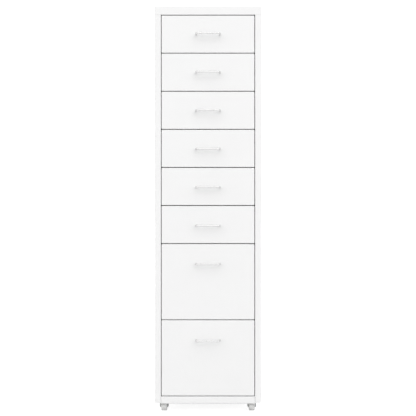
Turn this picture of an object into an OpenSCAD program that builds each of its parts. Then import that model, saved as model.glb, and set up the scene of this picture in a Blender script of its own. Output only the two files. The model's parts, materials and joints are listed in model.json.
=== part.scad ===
// Slim steel cabinet with eight sliding drawers, bow handles and four swivel casters.
// Millimetres. +X is the viewer's right, the drawers open towards -Y, +Z is up.
// The origin is on the floor, in the middle of the overall width and depth.

/* [Cabinet] */
// Overall width of the body
body_w = 285; // [260:1:340]
// Depth of the body, from the drawer fronts to the back flanges
body_d = 383; // [330:1:450]
// Height of the bottom rail, which is the base panel's front flange
base_rail_h = 19.5; // [19:0.5:30]
// Height of the top rail, which is the top panel's front flange
top_rail_h = 22.5; // [20:0.5:35]
// Thickness of the body's sheet steel
sheet_t = 1; // [0.8:0.1:1.4]
// Width of the side panels' front and back flanges
stile_w = 16.3; // [15:0.1:22]
// Depth of the stiles' inner return
stile_return = 10; // [6:1:14]
// Outer radius of the folds
fold_r = 2; // [1.8:0.1:3]
// Width of the seams between the panels
seam = 0.2; // [0.1:0.1:0.4]
// Height that the side panels' tongues reach into the top panel
tongue_h = 14; // [8:1:18]
// Depth of the fold along the lower edges of the rails
hem = 6; // [4:1:8]
// Height of the base panel's side flanges
base_flange_h = 10; // [6:1:11]

/* [Drawers] */
// Height of a small drawer's front together with the gap above it
drawer_pitch = 102.2; // [90:0.2:120]
// Gap above and below each drawer front
front_gap = 2; // [1:0.5:3]
// Gap between a drawer front and the stiles
side_gap = 1.6; // [0.8:0.2:2.4]
// Depth of the fold round a drawer front
front_depth = 12; // [8:1:16]
// Thickness of the trays' sheet steel
tray_t = 0.8; // [0.6:0.1:1.2]
// Distance from the opening's side to a tray's side wall
tray_inset = 8; // [7:0.5:11]
// Distance from the opening's side to the tip of a tray's flange
flange_tip_gap = 1; // [0.8:0.2:2]
// Height of a tray's bottom above the lower edge of its front
tray_lift = 4; // [3:0.5:8]
// Distance from the back panel to the trays
tray_rear_gap = 14; // [13:1:30]
// Distance that a drawer travels before its stops meet
drawer_travel = 280; // [200:5:290]
// Width of the rim folded in along the top of a tray's back wall
tray_rim = 6; // [4:1:10]

/* [Runners] */
// Height of a runner channel
runner_h = 10; // [9:0.5:12]
// Thickness of the runners' sheet steel
runner_t = 1; // [0.8:0.1:1.2]
// Distance from the top of a drawer front down to its runners
runner_drop = 6; // [4:0.5:10]
// Gap between a runner's legs and the tray's side wall
runner_tip_gap = 1; // [0.8:0.2:2]
// Gap between the drawer fronts' fold and the runners' front ends
runner_front_gap = 1; // [0.5:0.5:4]
// Running gap between a tray's flange and its runner
run_gap = 0.3; // [0.2:0.1:0.6]
// Height of the stop at the back of a tray's flange
stop_h = 5; // [4:0.5:5.5]
// Width of the stops
stop_w = 4; // [3:0.5:4.5]

/* [Handles] */
// Distance between the handle's ends
handle_span = 64; // [48:1:128]
// Distance from the drawer front to the handle's outer side
handle_reach = 25; // [20:1:32]
// Diameter of the handle's rod
rod_d = 4.8; // [4.6:0.2:6]
// Radius of the handle's bends, on the rod's centre line
rod_bend_r = 6; // [5:0.5:9]
// Distance from the top of a drawer front down to its handle
handle_drop = 52; // [45:1:60]
// Diameter of the handle's threaded ends
stud_d = 3; // [2.5:0.5:4]
// Width of the handle nuts across flats
handle_nut_w = 5.5; // [5.5:0.5:8]
// Height of the handle nuts
handle_nut_h = 3.4; // [2.4:0.2:4.2]
// Diameter of the handle nuts' flange
nut_flange_d = 8; // [8:0.5:10]
// Thickness of the handle nuts' flange
nut_flange_t = 1; // [0.8:0.1:1.6]
// Length of thread that shows past a nut
thread_proud = 1.5; // [0.5:0.5:3]

/* [Casters] */
// Diameter of the wheels
wheel_d = 30; // [26:1:30]
// Width of the wheels' tread
wheel_w = 15; // [12:0.5:16]
// Depth of the dish in a wheel's sides
wheel_dish = 1.6; // [0.8:0.2:2.4]
// Diameter of a wheel's hub
hub_d = 11; // [9.5:0.5:13]
// Slope round the edges of the wheels' tread
wheel_crown = 1.5; // [0.5:0.1:2]
// Thickness of the wheels' rim
wheel_rim = 2.2; // [2:0.1:3]
// Distance from the swivel axis to the axle
caster_trail = 9; // [8:0.5:10]
// Diameter of the axle
axle_d = 5; // [4:0.5:6]
// Diameter of the axle's heads
axle_head_d = 8; // [7.5:0.5:10]
// Thickness of the axle's heads
axle_head_t = 1.5; // [1:0.1:2]
// Thickness of the forks
fork_t = 2; // [1.5:0.1:2.4]
// Gap between a wheel's hub and the fork, on each side
hub_gap = 0.3; // [0.2:0.1:0.6]
// Length of a wheel's hub
hub_l = 17.4; // [16.8:0.2:18.4]
// Radius of the lower end of a fork's legs
leg_r = 7; // [6:0.5:8]
// Diameter of the fork's head
fork_head_d = 25; // [22:0.5:26]
// Side of a caster's square plate
plate_w = 36; // [34:1:40]
// Thickness of a caster's plate
plate_t = 2; // [1.5:0.1:2.5]
// Corner radius of a caster's plate
plate_r = 4; // [2:0.5:6]
// Depth of the raceway pressed down out of the plate
raceway_h = 3; // [2.6:0.1:3.4]
// Diameter of the raceway
raceway_d = 23; // [20:0.5:24]
// Diameter of the kingpin
kingpin_d = 6; // [5:0.5:7]
// Diameter of the kingpin's heads
kingpin_head_d = 10; // [9:0.5:11]
// Thickness of the kingpin's lower head
kingpin_head_t = 2; // [1.5:0.1:2.2]

/* [Fasteners] */
// Diameter of the caster bolts
bolt_d = 4; // [3:0.5:4.5]
// Distance between the caster bolts
bolt_pitch = 26; // [25:0.5:28]
// Diameter of the bolts' and screws' heads
head_d = 8; // [7:0.5:8.5]
// Height of the bolts' and screws' heads
head_h = 2; // [1.6:0.1:2.4]
// Height of the caster nuts
nut_h = 3.2; // [2.4:0.1:3.4]
// Width of the caster nuts across flats
nut_w = 7; // [6:0.5:7.5]
// Diameter of the back panel's screws
screw_d = 3.5; // [2.9:0.1:4]
// Length of the back panel's screws under their heads
screw_l = 7; // [5:0.5:9]
// Width and depth of the cross in the heads
cross_w = 1; // [0.8:0.1:1.2]
// Screws up each back flange
screws_per_side = 6; // [3:1:9]
// Screws along the top panel's back flange
screws_on_top = 3; // [1:1:5]

/* [Clearances] */
// Radial running gap of a wheel on its axle
axle_gap = 0.05; // [0.02:0.01:0.1]
// Radial running gap of a fork on its kingpin
kingpin_gap = 0.08; // [0.02:0.01:0.1]
// Gap above and below a fork's head
swivel_gap = 0.3; // [0.2:0.1:0.5]
// Radial gap round the handles' threaded ends
stud_gap = 0.2; // [0.1:0.05:0.2]
// Gap kept between the swivelling wheels and the body's sides
sweep_gap = 1.5; // [1:0.5:12]
// Gap between a wheel and the lower head of its kingpin
pin_gap = 1.9; // [1.5:0.1:5]
// Gap between the drawer's stop and the runner's stop at full travel
stop_gap = 0.5; // [0.3:0.1:1]
// Least gap between a sliding stop and what it passes
slide_gap = 1; // [0.5:0.1:1.2]

/* [Hidden] */
$fn = 64;
fold_steps = 5;

// Distance that a cutter runs past the faces it opens
over = 1;

// Heights of the drawers in pitches, from the top drawer down
drawer_units = [1, 1, 1, 1, 1, 1, 2, 2];
drawer_count = len(drawer_units);
DRAWERS = [1:drawer_count];

// Casters: name, side and end
CORNERS = [
    ["front_left", -1, -1],
    ["front_right", 1, -1],
    ["rear_left", -1, 1],
    ["rear_right", 1, 1]
];

// Depth and side limits of the body
overall_d = handle_reach + body_d + head_h;
y_front = handle_reach - overall_d / 2;
y_back = y_front + body_d;
x_side = body_w / 2;
x_open = x_side - stile_w;

// Caster heights, from the wheels up to the base panel
wheel_r = wheel_d / 2;
z_pin = wheel_d + pin_gap;
z_bridge = z_pin + kingpin_head_t + swivel_gap;
z_head = z_bridge + 2 * fork_t;
z_raceway = z_head + swivel_gap;
z_plate = z_raceway + raceway_h + plate_t;

// Body heights
z_floor = z_plate + sheet_t;
z_body = z_floor - base_rail_h;
z_cap = z_floor + front_gap + units_above(drawer_count + 1) * drawer_pitch;
z_top = z_cap + top_rail_h;

// Drawer parts
x_front = x_open - side_gap;
x_tray = x_open - tray_inset;
x_flange = x_open - flange_tip_gap;
y_tray_front = y_front + sheet_t;
y_tray_back = y_back - 2 * sheet_t - tray_rear_gap;

// Runner parts
x_runner_tip = x_tray + runner_tip_gap;
y_runner_front = y_front + max(stile_return, front_depth) + runner_front_gap;
y_runner_back = y_tray_back + runner_front_gap;
stop_x = (x_runner_tip + x_flange) / 2;
y_stop = y_tray_back - drawer_travel - tray_t - stop_gap;

// Handle parts
y_bar = y_front - handle_reach + rod_d / 2;
stud_l = sheet_t + tray_t + handle_nut_h + thread_proud;

// Caster parts, and how far a swivelling wheel reaches at the height of the body's lower edge
leg_in = hub_l / 2 + hub_gap;
leg_out = leg_in + fork_t;
sweep_chord = sqrt(wheel_r * wheel_r - pow(z_body - wheel_r, 2));
sweep_r = norm([caster_trail + sweep_chord, wheel_w / 2 - wheel_crown]);
caster_inset = sheet_t + max(sweep_r + sweep_gap, plate_w / 2 + sheet_t);

// Colours
PAINT = "#f4f4f2";
PLATED = "#c9cbcd";
ZINC = "#b4b7ba";
WHEEL = "#dedfdf";

// ---- Drawer places ----

function units_above(i) = i <= 1 ? 0 : drawer_units[i - 2] + units_above(i - 1);
function front_h(i) = drawer_units[i - 1] * drawer_pitch - front_gap;
function front_top(i) = z_cap - front_gap - units_above(i) * drawer_pitch;
function front_low(i) = front_top(i) - front_h(i);
function runner_low(i) = front_top(i) - runner_drop - runner_h;
function flange_low(i) = runner_low(i) + runner_t + run_gap;
function handle_z(i) = front_top(i) - handle_drop;

// ---- Folded sheet ----

function unit(v) = v / norm(v);
function left_of(v) = [-v[1], v[0]];
function turned(v, a) = [v[0] * cos(a) - v[1] * sin(a), v[0] * sin(a) + v[1] * cos(a)];

// Points of one fold at b, between a and c, for the face that lies off to the left
function fold(a, b, c, r, off) =
    let (
        u = unit(b - a),
        w = unit(c - b),
        way = sign(cross(u, w)),
        angle = acos(u * w),
        start = b - u * r * tan(angle / 2),
        centre = start + way * left_of(u) * r
    )
    [for (k = [0:fold_steps])
        centre - turned(way * left_of(u), way * angle * k / fold_steps) * (r - way * off)];

// One face of a folded sheet along a path
function face_line(path, r, off) =
    let (last = len(path) - 1)
    concat(
        [path[0] + left_of(unit(path[1] - path[0])) * off],
        [for (k = [1:1:last - 1]) each fold(path[k - 1], path[k], path[k + 1], r, off)],
        [path[last] + left_of(unit(path[last] - path[last - 1])) * off]
    );

function reversed(list) = [for (k = [len(list) - 1:-1:0]) list[k]];

// Cross-section of a sheet folded along its middle line
module strip(path, t, outer_r) {
    r = outer_r - t / 2;
    polygon(concat(face_line(path, r, t / 2), reversed(face_line(path, r, -t / 2))));
}

// Extrudes a cross-section drawn in X and Z along Y
module along_y(y0, y1) {
    translate([0, y1, 0])
        rotate([90, 0, 0])
            linear_extrude(y1 - y0)
                children();
}

// Extrudes a cross-section drawn in Y and Z along X
module along_x(x0, x1) {
    translate([x0, 0, 0])
        rotate([90, 0, 90])
            linear_extrude(x1 - x0)
                children();
}

module block(low, high) {
    translate(low)
        cube(high - low);
}

// Outline of a rectangle with its corners rounded
module round_rect(w, h, r) {
    points = [for (s = [[1, 1, 0], [-1, 1, 90], [-1, -1, 180], [1, -1, 270]])
        for (k = [0:fold_steps])
            [s[0] * (w / 2 - r), s[1] * (h / 2 - r)]
                + r * [cos(s[2] + 90 * k / fold_steps), sin(s[2] + 90 * k / fold_steps)]];
    polygon(points);
}

// Block from z 0 up to h, with its upper edges and its corners rounded
module soft_block(w, d, h, r) {
    intersection() {
        linear_extrude(h)
            round_rect(w, d, r);
        along_y(-d, d)
            round_top(w, h, r);
        along_x(-w, w)
            round_top(d, h, r);
    }
}

module round_top(w, h, r) {
    intersection() {
        translate([0, h / 2 - r])
            round_rect(w, h + 2 * r, r);
        translate([-w, 0])
            square([2 * w, h]);
    }
}

// Open box of sheet, its face up
module pan(w, d, h, t, r) {
    difference() {
        soft_block(w, d, h, r);
        translate([0, 0, -t])
            soft_block(w - 2 * t, d - 2 * t, h, r - t);
    }
}

module right_side() {
    mid = sheet_t / 2;
    path = [
        [x_open + mid, y_front + stile_return],
        [x_open + mid, y_front + mid],
        [x_side - mid, y_front + mid],
        [x_side - mid, y_back - mid],
        [x_open, y_back - mid]
    ];
    z_start = z_body + fold_r;
    z_end = z_cap - seam;
    z_tongue = runner_low(1) + runner_h + runner_front_gap;
    z_tongue_end = z_cap + tongue_h;
    x_lap = x_side - sheet_t;
    y_lap = y_front + sheet_t;
    difference() {
        translate([0, 0, z_start])
            linear_extrude(z_end - z_start)
                strip(path, sheet_t, fold_r);
        block([0, y_front + sheet_t, 0], [x_open + 2 * sheet_t, y_front + 2 * stile_return, z_floor]);
        for (z = screw_heights())
            translate([(x_open + x_side) / 2, y_back, z])
                rotate([90, 0, 0])
                    cylinder(d = screw_d, h = 4 * sheet_t, center = true);
    }
    block([x_lap - sheet_t, y_front + 2 * fold_r, z_tongue], [x_lap, y_back - 2 * fold_r, z_tongue_end]);
    block([x_lap - sheet_t, y_front + 2 * fold_r, z_tongue], [x_lap + mid, y_back - 2 * fold_r, z_end]);
    block([x_open + fold_r, y_lap, z_tongue], [x_side - 2 * fold_r, y_lap + sheet_t, z_tongue_end]);
    block([x_open + fold_r, y_lap - mid, z_tongue], [x_side - 2 * fold_r, y_lap + sheet_t, z_end]);
}

module left_side_panel() {
    color(PAINT)
        mirror([1, 0, 0])
            right_side();
}

module right_side_panel() {
    color(PAINT)
        right_side();
}

module top_panel() {
    color(PAINT)
        difference() {
            union() {
                translate([0, (y_front + y_back) / 2, z_cap])
                    pan(body_w, body_d, top_rail_h, sheet_t, fold_r);
                block(
                    [-x_open + side_gap, y_front + sheet_t / 2, z_cap],
                    [x_open - side_gap, y_front + hem, z_cap + sheet_t]
                );
            }
            for (x = screw_places_on_top())
                translate([x, y_back, z_cap + top_rail_h / 2])
                    rotate([90, 0, 0])
                        cylinder(d = screw_d, h = 4 * sheet_t, center = true);
        }
}

module base_panel() {
    mid = sheet_t / 2;
    path = [
        [y_front + hem, z_body + mid],
        [y_front + mid, z_body + mid],
        [y_front + mid, z_floor - mid],
        [y_back - mid, z_floor - mid],
        [y_back - mid, z_body + mid],
        [y_back - hem, z_body + mid]
    ];
    color(PAINT)
        difference() {
            union() {
                along_x(-x_open + seam, x_open - seam)
                    strip(path, sheet_t, fold_r);
                for (side = [-1, 1]) {
                    block_between(
                        [side * (x_open - 2 * sheet_t), y_front + sheet_t, z_floor - sheet_t],
                        [side * (x_side - sheet_t), y_back - sheet_t, z_floor]
                    );
                    block_between(
                        [side * (x_side - 2 * sheet_t), y_front + 2 * fold_r, z_plate - base_flange_h],
                        [side * (x_side - sheet_t), y_back - 2 * fold_r, z_floor]
                    );
                }
            }
            at_casters()
                wheel_room(z_body + 2 * sheet_t);
            at_casters()
                at_bolts()
                    cylinder(d = bolt_d, h = z_top);
        }
}

// Space round a swivelling wheel, up to h, that stays inside the body's outer faces
module wheel_room(h) {
    r = sweep_r + sweep_gap;
    intersection() {
        cylinder(r = r, h = h);
        cube(2 * [r, caster_inset - fold_r, h], center = true);
    }
}

module back_panel() {
    color(PAINT)
        difference() {
            block(
                [-x_side + fold_r, y_back - 2 * sheet_t, z_floor],
                [x_side - fold_r, y_back - sheet_t, z_top - fold_r]
            );
            at_back_screws()
                cylinder(d = screw_d, h = 6 * sheet_t, center = true);
        }
}

module block_between(a, b) {
    block(
        [min(a[0], b[0]), min(a[1], b[1]), min(a[2], b[2])],
        [max(a[0], b[0]), max(a[1], b[1]), max(a[2], b[2])]
    );
}

// ---- Runners ----

module right_runner(i) {
    mid = runner_t / 2;
    low = runner_low(i);
    x_web = x_side - sheet_t;
    path = [
        [x_runner_tip, low + mid],
        [x_web - mid, low + mid],
        [x_web - mid, low + runner_h - mid],
        [x_runner_tip, low + runner_h - mid]
    ];
    stop_low = flange_low(i) + tray_t + slide_gap;
    along_y(y_runner_front, y_runner_back)
        strip(path, runner_t, fold_r);
    block(
        [stop_x - stop_w / 2, y_stop - runner_t, stop_low],
        [stop_x + stop_w / 2, y_stop, low + runner_h - mid]
    );
}

module left_runners() {
    color(ZINC)
        mirror([1, 0, 0])
            for (i = DRAWERS)
                right_runner(i);
}

module right_runners() {
    color(ZINC)
        for (i = DRAWERS)
            right_runner(i);
}

// ---- Drawers ----

module drawer_front(i) {
    h = front_h(i);
    color(PAINT)
        difference() {
            translate([0, y_front + front_depth, front_low(i) + h / 2])
                rotate([90, 0, 0])
                    pan(2 * x_front, h, front_depth, sheet_t, fold_r);
            at_studs(i)
                cylinder(d = stud_d + 2 * stud_gap, h = 6 * sheet_t, center = true);
        }
}

module drawer_tray(i) {
    mid = tray_t / 2;
    low = front_low(i) + tray_lift;
    top = flange_low(i) + tray_t;
    half = [
        [x_flange, top - mid],
        [x_tray - mid, top - mid],
        [x_tray - mid, low + mid]
    ];
    path = concat(half, reversed([for (p = half) [-p[0], p[1]]]));
    color(PAINT)
        difference() {
            union() {
                along_y(y_tray_front, y_tray_back)
                    strip(path, tray_t, fold_r);
                for (y = [y_tray_front, y_tray_back - tray_t])
                    block([-x_tray + tray_t, y, low + mid], [x_tray - tray_t, y + tray_t, top]);
                block(
                    [-x_tray + fold_r, y_tray_back - tray_rim, top - tray_t],
                    [x_tray - fold_r, y_tray_back, top]
                );
                for (side = [-1, 1])
                    block_between(
                        [side * stop_x - stop_w / 2, y_tray_back - tray_t, top - mid],
                        [side * stop_x + stop_w / 2, y_tray_back, top + stop_h]
                    );
            }
            for (side = [-1, 1])
                block_between(
                    [side * x_tray, y_front, top - fold_r],
                    [side * x_open, y_front + front_depth + side_gap, top + over]
                );
            at_studs(i)
                cylinder(d = stud_d + 2 * stud_gap, h = 6 * sheet_t, center = true);
        }
}

// Stands at each threaded end of a handle, with Z pointing out of the front
module at_studs(i) {
    for (side = [-1, 1])
        translate([side * handle_span / 2, y_front, handle_z(i)])
            rotate([90, 0, 0])
                children();
}

module handle(i) {
    bar = handle_span / 2 - rod_bend_r;
    leg = y_front - y_bar - rod_bend_r;
    color(PLATED)
        translate([0, 0, handle_z(i)]) {
            translate([-bar, y_bar, 0])
                rotate([0, 90, 0])
                    cylinder(d = rod_d, h = 2 * bar);
            for (side = [0, 1])
                mirror([side, 0, 0]) {
                    translate([bar, y_bar + rod_bend_r, 0])
                        rotate([0, 0, -90])
                            rotate_extrude(angle = 90)
                                translate([rod_bend_r, 0])
                                    circle(d = rod_d);
                    translate([handle_span / 2, y_front, 0])
                        rotate([90, 0, 0])
                            cylinder(d = rod_d, h = leg);
                    translate([handle_span / 2, y_front + stud_l, 0])
                        rotate([90, 0, 0])
                            cylinder(d = stud_d, h = stud_l + over);
                }
        }
}

module handle_nuts(i) {
    color(ZINC)
        at_studs(i)
            translate([0, 0, -sheet_t - tray_t])
                mirror([0, 0, 1])
                    difference() {
                        union() {
                            cylinder(d = nut_flange_d, h = nut_flange_t);
                            cylinder(d = handle_nut_w / cos(30), h = handle_nut_h, $fn = 6);
                        }
                        translate([0, 0, -over])
                            cylinder(d = stud_d, h = handle_nut_h + 2 * over);
                    }
}

// ---- Fasteners ----

function screw_heights() =
    let (
        low = z_floor + top_rail_h,
        high = z_cap - top_rail_h
    )
    [for (k = [0:screws_per_side - 1]) low + (high - low) * k / (screws_per_side - 1)];

function screw_places_on_top() =
    let (step = 2 * x_open / (screws_on_top + 1))
    [for (k = [1:screws_on_top]) -x_open + k * step];

// Stands at each screw, on the back flanges' outer face, with Z pointing out
module at_back_screws() {
    for (side = [-1, 1])
        for (z = screw_heights())
            translate([side * (x_open + x_side) / 2, y_back, z])
                rotate([-90, 0, 0])
                    children();
    for (x = screw_places_on_top())
        translate([x, y_back, z_cap + top_rail_h / 2])
            rotate([-90, 0, 0])
                children();
}

// Pan head with a cross, standing on z 0
module pan_head() {
    difference() {
        intersection() {
            cylinder(d = head_d, h = head_h);
            translate([0, 0, 1.05 * head_h - head_d])
                sphere(r = head_d);
        }
        for (a = [0, 90])
            rotate([0, 0, a])
                translate([-head_d / 4, -cross_w / 2, head_h - cross_w])
                    cube([head_d / 2, cross_w, 2 * cross_w]);
    }
}

module back_screws() {
    color(ZINC)
        at_back_screws() {
            pan_head();
            translate([0, 0, -screw_l])
                cylinder(d = screw_d, h = screw_l + head_h / 4);
        }
}

// ---- Casters ----

// Stands at a caster's swivel axis, at floor level
module at_caster(c) {
    x = c[1] * (x_side - caster_inset);
    y = c[2] < 0 ? y_front + caster_inset : y_back - caster_inset;
    translate([x, y, 0])
        children();
}

module at_casters() {
    for (c = CORNERS)
        at_caster(c)
            children();
}

module at_bolts() {
    for (x = [-1, 1])
        for (y = [-1, 1])
            translate([x * bolt_pitch / 2, y * bolt_pitch / 2, 0])
                children();
}

module caster_bolts() {
    end = z_plate - plate_t - nut_h - thread_proud;
    color(ZINC)
        at_casters()
            at_bolts() {
                translate([0, 0, z_floor])
                    pan_head();
                translate([0, 0, end])
                    cylinder(d = bolt_d, h = z_floor + head_h / 4 - end);
            }
}

module caster_nuts() {
    color(ZINC)
        at_casters()
            at_bolts()
                translate([0, 0, z_plate - plate_t - nut_h])
                    difference() {
                        cylinder(d = nut_w / cos(30), h = nut_h, $fn = 6);
                        translate([0, 0, -over])
                            cylinder(d = bolt_d, h = nut_h + 2 * over);
                    }
}

module caster_plate(c) {
    color(ZINC)
        at_caster(c)
            difference() {
                union() {
                    translate([0, 0, z_plate - plate_t])
                        linear_extrude(plate_t)
                            round_rect(plate_w, plate_w, plate_r);
                    translate([0, 0, z_raceway])
                        cylinder(d = raceway_d, h = raceway_h + plate_t / 2);
                }
                translate([0, 0, z_plate - raceway_h])
                    cylinder(d = kingpin_head_d + plate_t, h = raceway_h + over);
                translate([0, 0, z_raceway - over])
                    cylinder(d = kingpin_d, h = z_plate);
                at_bolts()
                    cylinder(d = bolt_d, h = z_top);
            }
}

module caster_kingpins() {
    color(ZINC)
        at_casters() {
            translate([0, 0, z_pin])
                cylinder(d = kingpin_head_d, h = kingpin_head_t);
            translate([0, 0, z_pin])
                cylinder(d = kingpin_d, h = z_plate - raceway_h - z_pin + over);
            translate([0, 0, z_plate - raceway_h])
                cylinder(d = kingpin_head_d, h = raceway_h - swivel_gap);
        }
}

// Point where the line from p touches the circle round c
function touch_point(p, c, r, way) =
    let (
        to = c - p,
        a = asin(r / norm(to))
    )
    p + turned(unit(to), way * a) * sqrt(to * to - r * r);

// Outline of a fork's leg, in Y and Z
module leg_outline() {
    axle = [caster_trail, wheel_r];
    half = fork_head_d / 2 - fork_t;
    back = [half, z_bridge];
    front = [-half, z_bridge];
    top = z_bridge + fork_t;
    polygon([
        [-half, top],
        front,
        touch_point(front, axle, leg_r, -1),
        axle,
        touch_point(back, axle, leg_r, 1),
        back,
        [half, top]
    ]);
    translate(axle)
        circle(r = leg_r);
}

module caster_fork(c) {
    half = fork_head_d / 2 - fork_t;
    color(ZINC)
        at_caster(c)
            difference() {
                union() {
                    for (side = [0, 1])
                        mirror([side, 0, 0])
                            along_x(leg_in, leg_out)
                                leg_outline();
                    block([-leg_out, -half, z_bridge], [leg_out, half, z_bridge + fork_t]);
                    translate([0, 0, z_bridge + fork_t / 2])
                        cylinder(d = fork_head_d, h = z_head - z_bridge - fork_t / 2);
                }
                cylinder(r = kingpin_d / 2 + kingpin_gap, h = z_top);
                translate([0, caster_trail, wheel_r])
                    rotate([0, 90, 0])
                        cylinder(d = axle_d, h = 4 * leg_out, center = true);
            }
}

module caster_axle(c) {
    color(ZINC)
        at_caster(c)
            translate([0, caster_trail, wheel_r])
                rotate([0, 90, 0]) {
                    cylinder(d = axle_d, h = 2 * leg_out + axle_head_t, center = true);
                    for (side = [-1, 1])
                        translate([0, 0, side * (leg_out + axle_head_t / 2)])
                            cylinder(d = axle_head_d, h = axle_head_t, center = true);
                }
}

module caster_wheel(c) {
    r_dish = wheel_r - wheel_rim;
    w = wheel_w / 2;
    half = [
        [0, w - wheel_dish],
        [r_dish - wheel_dish / 2, w - wheel_dish],
        [r_dish, w],
        [wheel_r - wheel_crown, w],
        [wheel_r - wheel_crown / 3, w - wheel_crown / 3],
        [wheel_r, w - wheel_crown]
    ];
    color(WHEEL)
        at_caster(c)
            translate([0, caster_trail, wheel_r])
                rotate([0, 90, 0])
                    difference() {
                        union() {
                            rotate_extrude()
                                polygon(concat(half, reversed([for (p = half) [p[0], -p[1]]])));
                            cylinder(d = hub_d, h = hub_l, center = true);
                        }
                        cylinder(r = axle_d / 2 + axle_gap, h = 2 * hub_l, center = true);
                    }
}

left_side_panel();
right_side_panel();
top_panel();
base_panel();
back_panel();
left_runners();
right_runners();
back_screws();
caster_kingpins();
caster_bolts();
caster_nuts();

for (i = DRAWERS) {
    drawer_front(i);
    drawer_tray(i);
    handle(i);
    handle_nuts(i);
}

for (c = CORNERS) {
    caster_plate(c);
    caster_fork(c);
    caster_axle(c);
    caster_wheel(c);
}
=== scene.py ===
import json
import math

import bmesh
import bpy
from mathutils import Matrix, Vector

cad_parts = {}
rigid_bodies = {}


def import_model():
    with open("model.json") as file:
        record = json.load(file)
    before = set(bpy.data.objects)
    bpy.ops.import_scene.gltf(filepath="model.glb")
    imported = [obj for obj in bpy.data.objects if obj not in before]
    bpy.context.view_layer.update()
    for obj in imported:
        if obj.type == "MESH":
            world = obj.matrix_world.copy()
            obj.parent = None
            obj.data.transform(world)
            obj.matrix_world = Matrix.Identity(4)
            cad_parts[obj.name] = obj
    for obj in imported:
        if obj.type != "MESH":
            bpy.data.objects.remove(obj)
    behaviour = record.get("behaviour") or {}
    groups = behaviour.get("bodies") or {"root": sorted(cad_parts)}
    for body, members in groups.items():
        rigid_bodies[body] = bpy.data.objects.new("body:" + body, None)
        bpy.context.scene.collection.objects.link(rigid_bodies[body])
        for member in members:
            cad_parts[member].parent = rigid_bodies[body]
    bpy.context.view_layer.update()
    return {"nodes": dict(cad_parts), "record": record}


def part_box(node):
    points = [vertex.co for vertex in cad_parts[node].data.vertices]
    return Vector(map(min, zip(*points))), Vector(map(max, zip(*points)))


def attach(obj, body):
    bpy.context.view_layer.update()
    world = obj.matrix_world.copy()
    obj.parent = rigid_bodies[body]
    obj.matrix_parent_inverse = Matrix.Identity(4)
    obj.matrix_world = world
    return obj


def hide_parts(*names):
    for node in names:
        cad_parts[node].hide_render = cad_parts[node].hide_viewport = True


for leftover in list(bpy.data.objects):
    bpy.data.objects.remove(leftover)

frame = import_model()
print("frame loaded:", len(frame["nodes"]), "nodes")

mm = 0.001  # the dictionaries of pieces and finishes are in mm, Blender and the frame in metres
drawerNumbers = range(1, 1 + sum(name.startswith("drawer_front_") for name in frame["nodes"]))
casterCorners = ["front_left", "front_right", "rear_left", "rear_right"]

# the camera is level and straight on, its eye a little above half height; the frame height is
# what the picture takes in at the drawer fronts, and all of it is in metres
photoView = {"distance": 2.2, "frameHeight": 1.1153, "eyeHeight": 0.5501, "clipEnd": 200}

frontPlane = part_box("right_side_panel")[0].y
camera = bpy.data.objects.new("camera", bpy.data.cameras.new("camera"))
camera.location = (0, frontPlane - photoView["distance"], photoView["eyeHeight"])
camera.rotation_euler = (math.radians(90), 0, 0)
camera.data.angle = 2 * math.atan(photoView["frameHeight"] / 2 / photoView["distance"])
camera.data.clip_end = photoView["clipEnd"]
bpy.context.scene.collection.objects.link(camera)
bpy.context.scene.camera = camera
bpy.context.scene.view_settings.view_transform = "Standard"


def toLinear(hexColour):
    # sRGB hex to the linear colour that the nodes use
    parts = [int(hexColour[k:k + 2], 16) / 255 for k in (1, 3, 5)]
    linear = [c / 12.92 if c <= 0.04045 else ((c + 0.055) / 1.055) ** 2.4 for c in parts]
    return (*linear, 1.0)


def pickSocket(sockets, key):
    return next(socket for socket in sockets if socket.identifier == key)


def addNode(tree, kind, settings=None, inputs=None):
    # an input is a plain value, or a pair (node, output) that is linked to it
    node = tree.nodes.new(kind)
    for name, value in (settings or {}).items():
        setattr(node, name, value)
    for name, value in (inputs or {}).items():
        socket = pickSocket(node.inputs, name)
        if isinstance(value, tuple) and isinstance(value[0], bpy.types.Node):
            tree.links.new(pickSocket(value[0].outputs, value[1]), socket)
        else:
            socket.default_value = value
    return node


def newMaterial(name):
    material = bpy.data.materials.new(name)
    material.use_nodes = True
    material.node_tree.nodes.clear()
    return material, material.node_tree


def seenRays(tree):
    # 1 where the camera looks straight at something, or sees it in metal
    rays = addNode(tree, "ShaderNodeLightPath")
    seen = addNode(tree, "ShaderNodeMath", {"operation": "ADD"},
                   {"Value": (rays, "Is Camera Ray"), "Value_001": (rays, "Is Glossy Ray")})
    return addNode(tree, "ShaderNodeMath", {"operation": "ADD", "use_clamp": True},
                   {"Value": (seen, "Value"), "Value_001": (rays, "Is Transmission Ray")})


# a white room and a wide fill from the front do most of the lighting; one soft key, high on the
# right, draws the faint shadows of the handles down to the left
studio = {"colour": "#ffffff", "room": 0.925,
          "whiteMargin": 0.15,  # keeps the white behind the object free of grey specks
          "keyStrength": 0.13, "keyAngle": 24, "keyFrom": (0.35, -1.0, 0.63),
          "fillStrength": 0.92, "fillAngle": 90, "fillFrom": (0.0, -1.0, 0.3)}


def addSun(name, strength, angle, direction):
    sun = bpy.data.objects.new(name, bpy.data.lights.new(name, "SUN"))
    sun.data.energy = strength
    sun.data.angle = math.radians(angle)
    sun.rotation_mode = "QUATERNION"
    sun.rotation_quaternion = Vector(direction).to_track_quat("Z", "Y")
    bpy.context.scene.collection.objects.link(sun)


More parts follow.
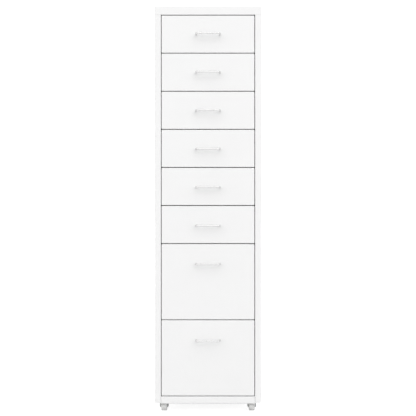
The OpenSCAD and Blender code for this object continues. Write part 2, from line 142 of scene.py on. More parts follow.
def lightRoom():
    # the room lights at its own level, and is white where it is seen
    world = bpy.data.worlds.new("room")
    bpy.context.scene.world = world
    world.use_nodes = True
    tree = world.node_tree
    tree.nodes.clear()
    seen = seenRays(tree)
    level = addNode(tree, "ShaderNodeMapRange", {},
                    {"Value": (seen, "Value"), "To Min": studio["room"], "To Max": 1.0})
    rays = addNode(tree, "ShaderNodeLightPath")
    white = addNode(tree, "ShaderNodeMath", {"operation": "MULTIPLY_ADD"},
                    {"Value": (rays, "Is Camera Ray"), "Value_001": studio["whiteMargin"],
                     "Value_002": (level, "Result")})
    sky = addNode(tree, "ShaderNodeBackground", {},
                  {"Color": toLinear(studio["colour"]), "Strength": (white, "Value")})
    addNode(tree, "ShaderNodeOutputWorld", {}, {"Surface": (sky, "Background")})
    addSun("key", studio["keyStrength"], studio["keyAngle"], studio["keyFrom"])
    addSun("frontFill", studio["fillStrength"], studio["fillAngle"], studio["fillFrom"])


# a white sweep of paper, which takes the shadow; its glow lifts it to the white behind, and in
# what shines on the object it glows less, so that it looks like plain white paper there too
paper = {"widthInMetres": 60, "colour": "#c8c8c8", "glow": 0.84, "glowInShine": 0.45,
         "grainSize": 2.5, "grainHeight": 0.1}


def layFloor():
    material, tree = newMaterial("backgroundPaper")
    grain = addNode(tree, "ShaderNodeTexNoise", {},
                    {"Scale": 1 / (paper["grainSize"] * mm), "Detail": 3.0})
    bump = addNode(tree, "ShaderNodeBump", {},
                   {"Strength": 0.1, "Distance": paper["grainHeight"] * mm,
                    "Height": (grain, "Fac")})
    matt = addNode(tree, "ShaderNodeBsdfDiffuse", {},
                   {"Color": toLinear(paper["colour"]), "Normal": (bump, "Normal")})
    seen = seenRays(tree)
    rays = addNode(tree, "ShaderNodeLightPath")
    full = addNode(tree, "ShaderNodeMapRange", {},
                   {"Value": (rays, "Is Camera Ray"), "To Min": paper["glowInShine"],
                    "To Max": paper["glow"]})
    level = addNode(tree, "ShaderNodeMath", {"operation": "MULTIPLY"},
                    {"Value": (seen, "Value"), "Value_001": (full, "Result")})
    glow = addNode(tree, "ShaderNodeEmission", {}, {"Strength": (level, "Value")})
    both = addNode(tree, "ShaderNodeAddShader", {},
                   {"Shader": (matt, "BSDF"), "Shader_001": (glow, "Emission")})
    addNode(tree, "ShaderNodeOutputMaterial", {}, {"Surface": (both, "Shader")})

    half = paper["widthInMetres"] / 2
    mesh = bpy.data.meshes.new("paperSweep")
    mesh.from_pydata([(-half, -half, 0), (half, -half, 0), (half, half, 0), (-half, half, 0)],
                     [], [(0, 1, 2, 3)])
    floor = bpy.data.objects.new("paperSweep", mesh)
    floor.data.materials.append(material)
    bpy.context.scene.collection.objects.link(floor)


lightRoom()
layFloor()
print("camera, light and floor in place")

# nearly all the values of a noise lie in this span, so a range from it is used from end to end
noiseSpan = (0.3, 0.7)


def whitePowderCoat():
    # polyester powder, sprayed and baked on steel: an even satin white with a soft orange peel,
    # greyer along folds and cut edges, partly as thinner powder and partly as painted shade in
    # creases
    look = {"white": "#f6f6f6", "cloud": "#f3f3f3", "thinAndShadeGrey": "#e6e6e6", "roughness": (0.36, 0.44),
            "ior": 1.5, "cloudSize": 90, "peelSize": 2.6, "peelHeight": 0.02, "waveSize": 70,
            "waveHeight": 0.05, "edgeWidth": 0.8, "edgeFacing": (0.98, 0.75), "thinAndShadeShare": 0.5}
    material, tree = newMaterial("whitePowderCoat")
    place = addNode(tree, "ShaderNodeTexCoord")
    cloud = addNode(tree, "ShaderNodeTexNoise", {},
                    {"Vector": (place, "Object"), "Scale": 1 / (look["cloudSize"] * mm),
                     "Detail": 4.0})
    tone = addNode(tree, "ShaderNodeMix", {"data_type": "RGBA"},
                   {"Factor_Float": (cloud, "Fac"), "A_Color": toLinear(look["white"]),
                    "B_Color": toLinear(look["cloud"])})
    # an edge or crease is where the rounded normal turns away from the flat one; there the white is
    # greyed, partly for the thinner powder and partly as painted shade
    rounded = addNode(tree, "ShaderNodeBevel", {"samples": 4}, {"Radius": look["edgeWidth"] * mm})
    flat = addNode(tree, "ShaderNodeNewGeometry")
    facing = addNode(tree, "ShaderNodeVectorMath", {"operation": "DOT_PRODUCT"},
                     {"Vector": (rounded, "Normal"), "Vector_001": (flat, "Normal")})
    edge = addNode(tree, "ShaderNodeMapRange", {},
                   {"Value": (facing, "Value"), "From Min": look["edgeFacing"][0],
                    "From Max": look["edgeFacing"][1], "To Max": look["thinAndShadeShare"]})
    # painted shade in the creases, mixed with the grey of thinner powder at the cut edges
    colour = addNode(tree, "ShaderNodeMix", {"data_type": "RGBA"},
                     {"Factor_Float": (edge, "Result"), "A_Color": (tone, "Result_Color"),
                      "B_Color": toLinear(look["thinAndShadeGrey"])})
    peel = addNode(tree, "ShaderNodeTexNoise", {},
                   {"Vector": (place, "Object"), "Scale": 1 / (look["peelSize"] * mm),
                    "Detail": 1.0})
    wave = addNode(tree, "ShaderNodeTexNoise", {},
                   {"Vector": (place, "Object"), "Scale": 1 / (look["waveSize"] * mm),
                    "Detail": 1.0})
    gloss = addNode(tree, "ShaderNodeMapRange", {},
                    {"Value": (cloud, "Fac"), "From Min": noiseSpan[0], "From Max": noiseSpan[1],
                     "To Min": look["roughness"][0], "To Max": look["roughness"][1]})
    waves = addNode(tree, "ShaderNodeBump", {},
                    {"Strength": 1.0, "Distance": look["waveHeight"] * mm, "Height": (wave, "Fac")})
    skin = addNode(tree, "ShaderNodeBump", {},
                   {"Strength": 1.0, "Distance": look["peelHeight"] * mm, "Height": (peel, "Fac"),
                    "Normal": (waves, "Normal")})
    shader = addNode(tree, "ShaderNodeBsdfPrincipled", {},
                     {"Base Color": (colour, "Result_Color"), "Roughness": (gloss, "Result"),
                      "IOR": look["ior"], "Normal": (skin, "Normal")})
    addNode(tree, "ShaderNodeOutputMaterial", {}, {"Surface": (shader, "BSDF")})
    return material


def brightNickel():
    # drawn steel rod, polished and nickel plated: a bright, neutral metal, faintly clouded, with
    # fine draw lines along the bar; the real ones are under 0.1 mm, and are drawn coarser to show
    look = {"plate": "#e2e2e2", "dull": "#d9d9d8", "roughness": (0.2, 0.3), "cloudSize": 9,
            "lineSize": 0.5, "lineHeight": 0.01, "lineStretch": (0.05, 1.0, 1.0)}
    material, tree = newMaterial("brightNickel")
    place = addNode(tree, "ShaderNodeTexCoord")
    cloud = addNode(tree, "ShaderNodeTexNoise", {},
                    {"Vector": (place, "Object"), "Scale": 1 / (look["cloudSize"] * mm),
                     "Detail": 3.0})
    colour = addNode(tree, "ShaderNodeMix", {"data_type": "RGBA"},
                     {"Factor_Float": (cloud, "Fac"), "A_Color": toLinear(look["plate"]),
                      "B_Color": toLinear(look["dull"])})
    gloss = addNode(tree, "ShaderNodeMapRange", {},
                    {"Value": (cloud, "Fac"), "From Min": noiseSpan[0], "From Max": noiseSpan[1],
                     "To Min": look["roughness"][0], "To Max": look["roughness"][1]})
    along = addNode(tree, "ShaderNodeMapping", {},
                    {"Vector": (place, "Object"), "Scale": look["lineStretch"]})
    lines = addNode(tree, "ShaderNodeTexNoise", {},
                    {"Vector": (along, "Vector"), "Scale": 1 / (look["lineSize"] * mm),
                     "Detail": 2.0})
    skin = addNode(tree, "ShaderNodeBump", {},
                   {"Strength": 0.5, "Distance": look["lineHeight"] * mm, "Height": (lines, "Fac")})
    shader = addNode(tree, "ShaderNodeBsdfPrincipled", {},
                     {"Base Color": (colour, "Result_Color"), "Metallic": 1.0,
                      "Roughness": (gloss, "Result"), "Normal": (skin, "Normal")})
    addNode(tree, "ShaderNodeOutputMaterial", {}, {"Surface": (shader, "BSDF")})
    return material


# small pressed parts, and the long rolled runners, whose marks run lengthwise; the marks are
# drawn coarser than the real ones, which are under 0.2 mm, so that they show
pressedZinc = {"blue": "#c3c8cd", "straw": "#cdcbc2", "dull": "#a9adb0", "dullNoise": (0.35, 0.75),
               "dullShare": 0.6, "roughness": (0.22, 0.38), "cloudSize": 6, "hueSize": 15,
               "lineSize": 0.6, "lineHeight": 0.01, "lineStretch": (1.0, 1.0, 1.0)}
rolledZinc = {**pressedZinc, "cloudSize": 14, "hueSize": 35, "lineHeight": 0.02,
              "lineStretch": (1.0, 0.03, 1.0)}


def zincPlate(name, look):
    # bright zinc over pressed steel: a cool grey metal, slightly clouded by the passivation from
    # blue to straw, with the rolling marks of the sheet under it
    material, tree = newMaterial(name)
    place = addNode(tree, "ShaderNodeTexCoord")
    cloud = addNode(tree, "ShaderNodeTexNoise", {},
                    {"Vector": (place, "Object"), "Scale": 1 / (look["cloudSize"] * mm),
                     "Detail": 4.0})
    hue = addNode(tree, "ShaderNodeTexNoise", {},
                  {"Vector": (place, "Object"), "Scale": 1 / (look["hueSize"] * mm),
                   "Detail": 2.0})
    warm = addNode(tree, "ShaderNodeMix", {"data_type": "RGBA"},
                   {"Factor_Float": (hue, "Fac"), "A_Color": toLinear(look["blue"]),
                    "B_Color": toLinear(look["straw"])})
    shade = addNode(tree, "ShaderNodeMapRange", {},
                    {"Value": (cloud, "Fac"), "From Min": look["dullNoise"][0],
                     "From Max": look["dullNoise"][1], "To Max": look["dullShare"]})
    colour = addNode(tree, "ShaderNodeMix", {"data_type": "RGBA"},
                     {"Factor_Float": (shade, "Result"), "A_Color": (warm, "Result_Color"),
                      "B_Color": toLinear(look["dull"])})
    gloss = addNode(tree, "ShaderNodeMapRange", {},
                    {"Value": (cloud, "Fac"), "From Min": noiseSpan[0], "From Max": noiseSpan[1],
                     "To Min": look["roughness"][0], "To Max": look["roughness"][1]})
    rolled = addNode(tree, "ShaderNodeMapping", {},
                     {"Vector": (place, "Object"), "Scale": look["lineStretch"]})
    lines = addNode(tree, "ShaderNodeTexNoise", {},
                    {"Vector": (rolled, "Vector"), "Scale": 1 / (look["lineSize"] * mm),
                     "Detail": 3.0})
    skin = addNode(tree, "ShaderNodeBump", {},
                   {"Strength": 0.6, "Distance": look["lineHeight"] * mm, "Height": (lines, "Fac")})
    shader = addNode(tree, "ShaderNodeBsdfPrincipled", {},
                     {"Base Color": (colour, "Result_Color"), "Metallic": 1.0,
                      "Roughness": (gloss, "Result"), "Normal": (skin, "Normal")})
    addNode(tree, "ShaderNodeOutputMaterial", {}, {"Surface": (shader, "BSDF")})
    return material


def mouldedPolypropylene():
    # injection-moulded polypropylene: an off-white, half-matt plastic, dulled a little in patches
    # as it rolls, with the fine grain of the mould, drawn coarser than the real 0.1 mm to show
    look = {"white": "#f6f6f5", "scuff": "#dfdedb", "scuffNoise": (0.5, 0.8), "scuffShare": 0.6,
            "roughness": (0.38, 0.55), "ior": 1.49, "cloudSize": 7, "grainSize": 0.4,
            "grainHeight": 0.02}
    material, tree = newMaterial("mouldedPolypropylene")
    place = addNode(tree, "ShaderNodeTexCoord")
    cloud = addNode(tree, "ShaderNodeTexNoise", {},
                    {"Vector": (place, "Object"), "Scale": 1 / (look["cloudSize"] * mm),
                     "Detail": 5.0})
    shade = addNode(tree, "ShaderNodeMapRange", {},
                    {"Value": (cloud, "Fac"), "From Min": look["scuffNoise"][0],
                     "From Max": look["scuffNoise"][1], "To Max": look["scuffShare"]})
    colour = addNode(tree, "ShaderNodeMix", {"data_type": "RGBA"},
                     {"Factor_Float": (shade, "Result"), "A_Color": toLinear(look["white"]),
                      "B_Color": toLinear(look["scuff"])})
    gloss = addNode(tree, "ShaderNodeMapRange", {},
                    {"Value": (cloud, "Fac"), "From Min": noiseSpan[0], "From Max": noiseSpan[1],
                     "To Min": look["roughness"][0], "To Max": look["roughness"][1]})
    grain = addNode(tree, "ShaderNodeTexNoise", {},
                    {"Vector": (place, "Object"), "Scale": 1 / (look["grainSize"] * mm),
                     "Detail": 2.0})
    skin = addNode(tree, "ShaderNodeBump", {},
                   {"Strength": 0.5, "Distance": look["grainHeight"] * mm,
                    "Height": (grain, "Fac")})
    shader = addNode(tree, "ShaderNodeBsdfPrincipled", {},
                     {"Base Color": (colour, "Result_Color"), "Roughness": (gloss, "Result"),
                      "IOR": look["ior"], "Normal": (skin, "Normal")})
    addNode(tree, "ShaderNodeOutputMaterial", {}, {"Surface": (shader, "BSDF")})
    return material


finishes = {
    "body_paint": whitePowderCoat(),
    "handle_rod": brightNickel(),
    "runner_steel": zincPlate("rolledZincSteel", rolledZinc),
    "caster_steel": zincPlate("pressedZincSteel", pressedZinc),
    "wheel_plastic": mouldedPolypropylene(),
}
finishes["drawer_paint"] = finishes["body_paint"]
finishes["zinc_fasteners"] = finishes["caster_steel"]
slotOf = {part["node"]: part["material_slot"] for part in frame["record"]["subparts"]}
bodyOf = {node: body for body, nodes in frame["record"]["behaviour"]["bodies"].items()
          for node in nodes}
print("materials mixed:", len(finishes))

# for every piece: an edge that turns by more than sharpAngle degrees is broken, and in a solid
# that is softened, points nearer than mergeDistance and faces that turn by less than flatAngle
# degrees become one; smallestCorner is the least radius at a folded pan's inner corners
shaping = {"sharpAngle": 35, "bevelSteps": 2, "mergeDistance": 0.03, "flatAngle": 0.3,
           "smallestCorner": 0.1}


def addPiece(node, bm, softEdge=0.0):
    # closes a bmesh as the piece that stands for a node, its cut edges broken by softEdge
    bmesh.ops.recalc_face_normals(bm, faces=bm.faces)
    mesh = bpy.data.meshes.new(node + ".dressed")
    bm.to_mesh(mesh)
    bm.free()
    sharp = math.radians(shaping["sharpAngle"])
    mesh.shade_smooth()
    mesh.set_sharp_from_angle(angle=sharp)
    piece = bpy.data.objects.new(node + ".dressed", mesh)
    bpy.context.scene.collection.objects.link(piece)
    if softEdge:
        broken = piece.modifiers.new("brokenEdges", "BEVEL")
        broken.width = softEdge * mm
        broken.segments = shaping["bevelSteps"]
        broken.limit_method = "ANGLE"
        broken.angle_limit = sharp
        broken.miter_outer = "MITER_ARC"
        broken.use_clamp_overlap = True
    even = piece.modifiers.new("evenNormals", "WEIGHTED_NORMAL")
    even.keep_sharp = True
    mesh.materials.append(finishes[slotOf[node]])
    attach(piece, bodyOf[node])
    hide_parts(node)


def softenNode(node, softEdge):
    # the node's own solid as a new piece, its facets joined up and its cut edges broken
    bm = bmesh.new()
    bm.from_mesh(frame["nodes"][node].data)
    bmesh.ops.remove_doubles(bm, verts=bm.verts, dist=shaping["mergeDistance"] * mm)
    bmesh.ops.dissolve_limit(bm, angle_limit=math.radians(shaping["flatAngle"]), verts=bm.verts,
                             edges=bm.edges)
    addPiece(node, bm, softEdge)


def leftOf(v):
    return Vector((-v.y, v.x))


def foldFace(corners, radius, offset, steps):
    # one face of a sheet that follows the corners, offset to the left of its middle line
    path = [Vector(p) for p in corners]
    points = [path[0] + leftOf((path[1] - path[0]).normalized()) * offset]
    for a, b, c in zip(path, path[1:], path[2:]):
        into, out = (b - a).normalized(), (c - b).normalized()
        angle = math.atan2(into.cross(out), into.dot(out))
        way = math.copysign(1, angle)
        centre = b - into * radius * math.tan(abs(angle) / 2) + leftOf(into) * way * radius
        for k in range(steps + 1):
            spoke = Matrix.Rotation(angle * k / steps, 2) @ leftOf(into) * way
            points.append(centre - spoke * (radius - way * offset))
    points.append(path[-1] + leftOf((path[-1] - path[-2]).normalized()) * offset)
    return points


def foldedSheet(corners, thickness, foldRadius, steps):
    # closed outline of a folded sheet; the fold radius is measured on its outer face
    middle = foldRadius - thickness / 2
    outer = foldFace(corners, middle, thickness / 2, steps)
    inner = foldFace(corners, middle, -thickness / 2, steps)
    return outer + inner[::-1]


def sweepOutline(bm, outline, place, start, end):
    # carries a closed outline along a straight line; place turns (a, b, along) into a point
    first = [bm.verts.new(place(a, b, start)) for a, b in outline]
    last = [bm.verts.new(place(a, b, end)) for a, b in outline]
    for k in range(len(outline)):
        bm.faces.new((first[k - 1], first[k], last[k], last[k - 1]))
    bm.faces.new(first)
    bm.faces.new(last[::-1])


def roundedRectangle(halfWidth, halfHeight, radius, steps):
    points = []
    for sideX, sideY, start in ((1, 1, 0), (-1, 1, 90), (-1, -1, 180), (1, -1, 270)):
        for k in range(steps + 1):
            angle = math.radians(start + 90 * k / steps)
            points.append((sideX * (halfWidth - radius) + radius * math.cos(angle),
                           sideY * (halfHeight - radius) + radius * math.sin(angle)))
    return points


def joinRings(bm, rings):
    for low, high in zip(rings, rings[1:]):
        for k in range(len(low)):
            bm.faces.new((low[k - 1], low[k], high[k], high[k - 1]))


def foldedPan(bm, halfWidth, halfHeight, depth, sheet, place):
    # a sheet with all four edges folded back and the corners welded and rounded;
    # place turns (a, b, level) into a point, with level 0 on the outer face
    thickness, foldRadius = sheet["thickness"] * mm, sheet["foldRadius"] * mm
    steps = sheet["cornerSteps"]
    innerRadius = foldRadius - thickness
    outside, inside = [(0, depth)], [(thickness, depth)]
    for k in range(steps + 1):
        angle = math.radians(90 * k / steps)
        inward, back = 1 - math.cos(angle), 1 - math.sin(angle)
        outside.append((foldRadius * inward, foldRadius * back))
        inside.append((thickness + innerRadius * inward, thickness + innerRadius * back))
    rings = []
    for inset, level in inside[::-1] + outside:
        corner = max(foldRadius - inset, shaping["smallestCorner"] * mm)
        outline = roundedRectangle(halfWidth - inset, halfHeight - inset, corner, steps)
        rings.append([bm.verts.new(place(a, b, level)) for a, b in outline])
    joinRings(bm, rings)
    bm.faces.new(rings[0])
    bm.faces.new(rings[-1])


def turnProfile(bm, profile, matrix, sides=48, closed=False):
    # revolves (radius, height) points round Z; a third value cuts that ring to a hexagon of that
    # width across flats, a radius of 0 closes the end, and closed joins the last ring to the first
    rings = []
    for radius, height, *flats in profile:
        if radius == 0:
            rings.append([bm.verts.new(matrix @ Vector((0, 0, height)))])
            continue
        ring = []
        for k in range(sides):
            angle = 2 * math.pi * k / sides
            reach = radius
            if flats:
                fromFlat = (angle + math.pi / 6) % (math.pi / 3) - math.pi / 6
                reach = min(radius, flats[0] / 2 / math.cos(fromFlat))
            point = Vector((reach * math.cos(angle), reach * math.sin(angle), height))
            ring.append(bm.verts.new(matrix @ point))
        rings.append(ring)
    if closed:
        rings.append(rings[0])
    for low, high in zip(rings, rings[1:]):
        for k in range(sides):
            if len(low) == 1:
                bm.faces.new((low[0], high[k], high[k - 1]))
            elif len(high) == 1:
                bm.faces.new((low[k - 1], low[k], high[0]))
            else:
                bm.faces.new((low[k - 1], low[k], high[k], high[k - 1]))


def threadProfile(radius, depth, pitch, length):
    # grooves and ridges of a thread, each with its distance from the thread's end
    points = []
    for k in range(int(length / pitch)):
        points += [(radius - depth, k * pitch), (radius, (k + 0.5) * pitch)]
    return points


def hexagonCorner(width):
    # how far a hexagon's corners stand out, from its width across flats
    return width / 2 / math.cos(math.pi / 6)


def acrossAt(centre):
    # turns what is revolved round Z to lie from side to side at a point, as an axle does
    return Matrix.Translation(centre) @ Matrix.Rotation(math.radians(90), 4, "Y")


# the body: its folds, the hem inside the top panel and the laps that hold the panels together
bodySheet = {"thickness": 1.0, "foldRadius": 2.0, "foldSteps": 8, "cornerSteps": 6, "seam": 0.2,
             "stileReturn": 10.0, "hem": 6.0, "hemEndGap": 1.6, "lapHeight": 21.0,
             "softEdge": 0.15}

sideLow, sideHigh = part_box("right_side_panel")
capLow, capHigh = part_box("top_panel")
openingHalf = sideLow.x
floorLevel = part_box("base_panel")[1].z


def sweepNotched(bm, outline, keptFrom, keptTo, low, middle, high):
    # an upright sheet whose outline loses both its ends below the middle level
    lowRing = [bm.verts.new((a, b, low)) for a, b in outline[keptFrom:keptTo]]
    middleRing = [bm.verts.new((a, b, middle)) for a, b in outline]
    highRing = [bm.verts.new((a, b, high)) for a, b in outline]
    joinRings(bm, [lowRing, middleRing[keptFrom:keptTo]])
    joinRings(bm, [middleRing, highRing])
    bm.faces.new(lowRing)
    bm.faces.new(highRing)
    bm.faces.new(middleRing[keptTo - 1:] + middleRing[:keptFrom + 1])


def buildSidePanel(side, node):
    sheet = bodySheet["thickness"] * mm
    middle = sheet / 2
    radius = bodySheet["foldRadius"] * mm
    steps = bodySheet["foldSteps"]
    xOut, yFront, yBack = sideHigh.x, sideLow.y, sideHigh.y
    corners = [(openingHalf + middle, yFront + bodySheet["stileReturn"] * mm),
               (openingHalf + middle, yFront + middle), (xOut - middle, yFront + middle),
               (xOut - middle, yBack - middle), (openingHalf, yBack - middle)]
    outline = foldedSheet(corners, sheet, radius, steps)
    # the stile's return ends above the base, where the front casters swing: below it the outline
    # starts at the end of the first outer fold and ends half way round the first inner one
    foldEnd, halfFold = steps + 1, len(outline) - steps // 2
    seamLow = capLow.z - bodySheet["seam"] * mm
    bm = bmesh.new()
    sweepNotched(bm, outline, foldEnd, halfFold, sideLow.z, floorLevel, seamLow)

    # two lap strips, spot-welded inside, reach up into the top panel
    lapTop = sideHigh.z
    lapLow = lapTop - bodySheet["lapHeight"] * mm
    sideLap = [(xOut - 2 * sheet, yFront + 2 * radius), (xOut - sheet, yFront + 2 * radius),
               (xOut - sheet, yBack - 2 * radius), (xOut - 2 * sheet, yBack - 2 * radius)]
    frontLap = [(openingHalf + radius, yFront + sheet), (xOut - 2 * radius, yFront + sheet),
                (xOut - 2 * radius, yFront + 2 * sheet), (openingHalf + radius, yFront + 2 * sheet)]
    for lap in (sideLap, frontLap):
        sweepOutline(bm, lap, lambda a, b, along: (a, b, along), lapLow, lapTop)
    if side < 0:
        bmesh.ops.scale(bm, vec=(-1, 1, 1), verts=bm.verts)
    addPiece(node, bm, bodySheet["softEdge"])


def buildTopPanel():
    sheet, hem = bodySheet["thickness"] * mm, bodySheet["hem"] * mm
    middleY = (capLow.y + capHigh.y) / 2
    bm = bmesh.new()
    foldedPan(bm, capHigh.x, (capHigh.y - capLow.y) / 2, capHigh.z - capLow.z, bodySheet,
              lambda a, b, level: (a, middleY + b, capHigh.z - level))
    # the front flange's lower edge is hemmed back between the stiles
    hemEnd = openingHalf - bodySheet["hemEndGap"] * mm
    hemOutline = [(capLow.y + sheet / 2, capLow.z), (capLow.y + hem, capLow.z),
                  (capLow.y + hem, capLow.z + sheet), (capLow.y + sheet / 2, capLow.z + sheet)]
    sweepOutline(bm, hemOutline, lambda a, b, along: (along, a, b), -hemEnd, hemEnd)
    addPiece("top_panel", bm, bodySheet["softEdge"])


buildSidePanel(1, "right_side_panel")
buildSidePanel(-1, "left_side_panel")
buildTopPanel()
for node in ("base_panel", "back_panel"):
    softenNode(node, bodySheet["softEdge"])
print("body panels folded")

drawerSheet = {"thickness": 1.0, "foldRadius": 2.0, "cornerSteps": 6, "softEdge": 0.15,
               "thinSoftEdge": 0.12}  # the trays' and runners' edges


def buildDrawerFront(number):
    node = f"drawer_front_{number}"
    low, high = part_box(node)
    middle = (low + high) / 2
    bm = bmesh.new()
    foldedPan(bm, (high.x - low.x) / 2, (high.z - low.z) / 2, high.y - low.y, drawerSheet,
              lambda a, b, level: (a, low.y + level, middle.z + b))
    addPiece(node, bm, drawerSheet["softEdge"])


for number in drawerNumbers:
    buildDrawerFront(number)
    softenNode(f"drawer_tray_{number}", drawerSheet["thinSoftEdge"])
for node in ("left_runners", "right_runners"):
    softenNode(node, drawerSheet["thinSoftEdge"])
print("drawers and runners built")

# a bow handle's rod; studEnd, shoulderStart and shoulderEnd are distances ahead of the drawer
# front, between which the thread gives way to the shoulder and its chamfer
handleRod = {"diameter": 4.8, "bendRadius": 6.0, "bendSteps": 10, "sides": 28,
             "studDiameter": 3.0, "threadPitch": 0.5, "threadDepth": 0.25, "studEnd": 0.05,
             "shoulderStart": 0.1, "shoulderEnd": 0.6, "shoulderChamfer": 0.5}


def sweepRod(bm, path, radii, sides):
    # carries a circle along a level path, with a radius at each point, and closes both ends
    rings = []
    for k, point in enumerate(path):
        before, after = path[max(k - 1, 0)], path[min(k + 1, len(path) - 1)]
        across = (after - before).normalized().cross(Vector((0, 0, 1)))
        ring = []
        for step in range(sides):
            angle = 2 * math.pi * step / sides
            spoke = across * math.cos(angle) + Vector((0, 0, math.sin(angle)))
            ring.append(bm.verts.new(point + radii[k] * spoke))
        rings.append(ring)
    joinRings(bm, rings)
    bm.faces.new(rings[0])
    bm.faces.new(rings[-1])


def buildHandle(number):
    node = f"handle_{number}"
    low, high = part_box(node)
    rod, stud = handleRod["diameter"] / 2 * mm, handleRod["studDiameter"] / 2 * mm
    bend = handleRod["bendRadius"] * mm
    level = (low.z + high.z) / 2
    legX = high.x - rod

    # half of the path, from the thread's end inside the drawer to the middle of the bar
    half, radii = [], []
    for radius, depth in threadProfile(stud, handleRod["threadDepth"] * mm,
                                       handleRod["threadPitch"] * mm, high.y - frontPlane):
        half.append(Vector((legX, high.y - depth, level)))
        radii.append(radius)
    for ahead, radius in ((handleRod["studEnd"], stud),
                          (handleRod["shoulderStart"], rod - handleRod["shoulderChamfer"] * mm),
                          (handleRod["shoulderEnd"], rod)):
        half.append(Vector((legX, frontPlane - ahead * mm, level)))
        radii.append(radius)
    centre = Vector((legX - bend, low.y + rod + bend, level))
    for k in range(handleRod["bendSteps"] + 1):
        angle = math.radians(-90 * k / handleRod["bendSteps"])
        half.append(centre + bend * Vector((math.cos(angle), math.sin(angle), 0)))
        radii.append(rod)
    mirrored = [Vector((-p.x, p.y, p.z)) for p in half[::-1]]
    bm = bmesh.new()
    sweepRod(bm, half + mirrored, radii + radii[::-1], handleRod["sides"])
    addPiece(node, bm)


handleNut = {"width": 5.5, "flangeEdge": 0.5, "flange": 1.0, "flangeStep": 0.05, "chamfer": 0.35}


def buildHandleNuts(number):
    # hexagon nuts whose sloped flange bears on the tray's front wall; the hexagon rises from it
    # over a narrow step
    node = f"handle_nuts_{number}"
    low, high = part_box(node)
    width = handleNut["width"] * mm
    corner = hexagonCorner(width)
    height = high.y - low.y
    flangeRadius = (high.z - low.z) / 2
    bore = handleRod["studDiameter"] / 2 * mm
    edge, flange, step, chamfer = (handleNut[key] * mm for key in
                                   ("flangeEdge", "flange", "flangeStep", "chamfer"))
    profile = [(bore, 0), (flangeRadius, 0), (flangeRadius, edge), (corner, flange),
               (corner, flange + step, width), (corner, height - chamfer, width),
               (width / 2, height, width), (bore, height)]
    backwards = Matrix.Rotation(math.radians(-90), 4, "X")
    bm = bmesh.new()
    for x in (low.x + flangeRadius, high.x - flangeRadius):
        place = Matrix.Translation((x, low.y, (low.z + high.z) / 2))
        turnProfile(bm, profile, place @ backwards, closed=True)
    addPiece(node, bm)


for number in drawerNumbers:
    buildHandle(number)
    buildHandleNuts(number)
print("handles bent")

casterWheel = {"tread": 15.0, "shoulder": 1.5, "shoulderSteps": 6, "rim": 2.2, "dish": 1.6,
               "hubDiameter": 11.0, "boreDiameter": 5.1, "softEdge": 0.4, "sides": 64}


def buildWheel(corner):
    # one moulding: a tread with rounded shoulders, dished sides and a hub that stands proud
    node = f"caster_wheel_{corner}"
    low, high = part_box(node)
    radius, hubEnd = (high.z - low.z) / 2, (high.x - low.x) / 2
    half, rim = casterWheel["tread"] / 2 * mm, radius - casterWheel["rim"] * mm
    web = half - casterWheel["dish"] * mm
    bore, hub = casterWheel["boreDiameter"] / 2 * mm, casterWheel["hubDiameter"] / 2 * mm
    shoulder, edge = casterWheel["shoulder"] * mm, casterWheel["softEdge"] * mm
    side = [(bore, hubEnd - edge), (bore + edge, hubEnd), (hub - edge, hubEnd),
            (hub, hubEnd - edge), (hub, web + edge), (hub + edge, web), (rim - 2 * edge, web),
            (rim - edge, web + edge), (rim, half - edge / 2), (rim + edge / 2, half)]
    for k in range(casterWheel["shoulderSteps"] + 1):
        angle = math.radians(90 * k / casterWheel["shoulderSteps"])
        side.append((radius - shoulder * (1 - math.sin(angle)),
                     half - shoulder * (1 - math.cos(angle))))
    profile = side + [(r, -x) for r, x in side[::-1]]
    bm = bmesh.new()
    turnProfile(bm, profile, acrossAt((low + high) / 2), casterWheel["sides"], closed=True)
    addPiece(node, bm)


# the riveted axles and kingpins: the thickness of their shafts and the heights of their heads
casterPin = {"axleDiameter": 5.0, "axleHead": 1.5,
             "pinDiameter": 6.0, "pinLowerHead": 2.0, "pinUpperHead": 2.7}
# how a peened head narrows towards its middle, as (share of its radius, share of its height)
peenedDome = [(1, 0), (1, 0.35), (0.95, 0.6), (0.8, 0.8), (0.5, 0.95)]


def peenedHead(radius, start, end):
    # a rivet's head from its flat side at start to the middle of its dome at end
    return [(r * radius, start + h * (end - start)) for r, h in peenedDome] + [(0, end)]


def buildAxle(corner):
    node = f"caster_axle_{corner}"
    low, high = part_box(node)
    shaft, end = casterPin["axleDiameter"] / 2 * mm, (high.x - low.x) / 2
    headStart = end - casterPin["axleHead"] * mm
    half = [(shaft, headStart)] + peenedHead((high.z - low.z) / 2, headStart, end)
    profile = [(r, -x) for r, x in half[::-1]] + half
    bm = bmesh.new()
    turnProfile(bm, profile, acrossAt((low + high) / 2))
    addPiece(node, bm)


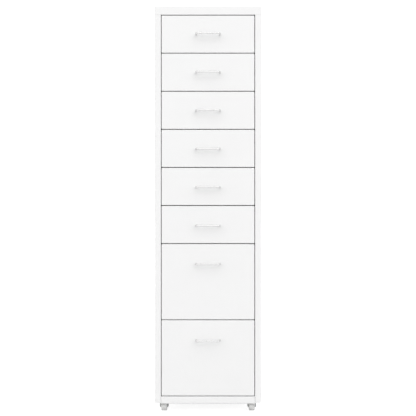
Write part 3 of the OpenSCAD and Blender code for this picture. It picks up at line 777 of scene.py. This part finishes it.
casterSteel = {"headDiameter": 25.0, "boltPitch": 26.0, "boltDiameter": 4.0, "nutWidth": 7.0,
               "nutChamfer": 0.4, "forkEdge": 0.6, "plateEdge": 0.3, "screwEdge": 0.12}


def swivelAxis(corner):
    # where a caster's swivel axis stands on the floor; the fork's head lies forward of its axle
    low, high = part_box(f"caster_fork_{corner}")
    return Vector(((low.x + high.x) / 2, low.y + casterSteel["headDiameter"] / 2 * mm, 0))


def buildKingpins():
    low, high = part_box("caster_kingpins")
    headRadius = high.x - swivelAxis("front_right").x
    shaft = casterPin["pinDiameter"] / 2 * mm
    lowerEnd = low.z + casterPin["pinLowerHead"] * mm
    upperEnd = high.z - casterPin["pinUpperHead"] * mm
    lowerHead = peenedHead(headRadius, lowerEnd, low.z)
    upperHead = peenedHead(headRadius, upperEnd, high.z)
    profile = lowerHead[::-1] + [(shaft, lowerEnd), (shaft, upperEnd)] + upperHead
    bm = bmesh.new()
    for corner in casterCorners:
        turnProfile(bm, profile, Matrix.Translation(swivelAxis(corner)))
    addPiece("caster_kingpins", bm)


def buildCasterNuts():
    low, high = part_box("caster_nuts")
    width, chamfer = casterSteel["nutWidth"] * mm, casterSteel["nutChamfer"] * mm
    bore, corner = casterSteel["boltDiameter"] / 2 * mm, hexagonCorner(width)
    profile = [(bore, low.z), (width / 2, low.z, width), (corner, low.z + chamfer, width),
               (corner, high.z - chamfer, width), (width / 2, high.z, width), (bore, high.z)]
    step = casterSteel["boltPitch"] / 2 * mm
    bm = bmesh.new()
    for caster in casterCorners:
        for x in (-step, step):
            for y in (-step, step):
                place = Matrix.Translation(swivelAxis(caster) + Vector((x, y, 0)))
                turnProfile(bm, profile, place, closed=True)
    addPiece("caster_nuts", bm)


for corner in casterCorners:
    softenNode(f"caster_plate_{corner}", casterSteel["plateEdge"])
    softenNode(f"caster_fork_{corner}", casterSteel["forkEdge"])
    buildAxle(corner)
    buildWheel(corner)
buildKingpins()
buildCasterNuts()
for node in ("caster_bolts", "back_screws"):
    softenNode(node, casterSteel["screwEdge"])
print("casters and fasteners built")
